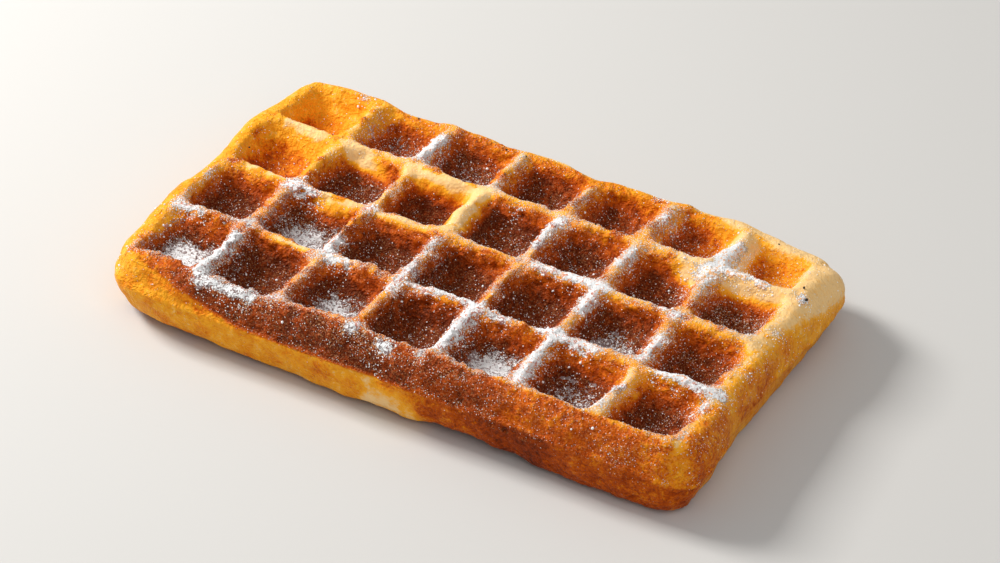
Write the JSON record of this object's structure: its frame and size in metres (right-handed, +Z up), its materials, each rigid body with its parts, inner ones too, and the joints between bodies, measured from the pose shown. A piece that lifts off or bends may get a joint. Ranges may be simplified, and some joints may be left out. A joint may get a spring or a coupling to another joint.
{
  "type": "waffle",
  "caption": "Rectangular baked waffle with a grid of deep square pockets on both faces, dusted with icing sugar.",
  "frame": {"origin": "middle of the underside, at the level that the waffle rests on", "axes": "+X along the long side, +Y across the short side towards the far long edge, +Z up out of the upper face"},
  "size_m": [0.1722, 0.1068, 0.0222],
  "materials": {
    "crust": "baked batter crust, deep brown along the front and middle, golden yellow at the ends, fine grain, soft buttery sheen",
    "icing_sugar": "dry white powder in loose drifts and single specks, no sheen"
  },
  "bodies": {
    "root": {"waffle": "crust"}
  },
  "joints": []
}
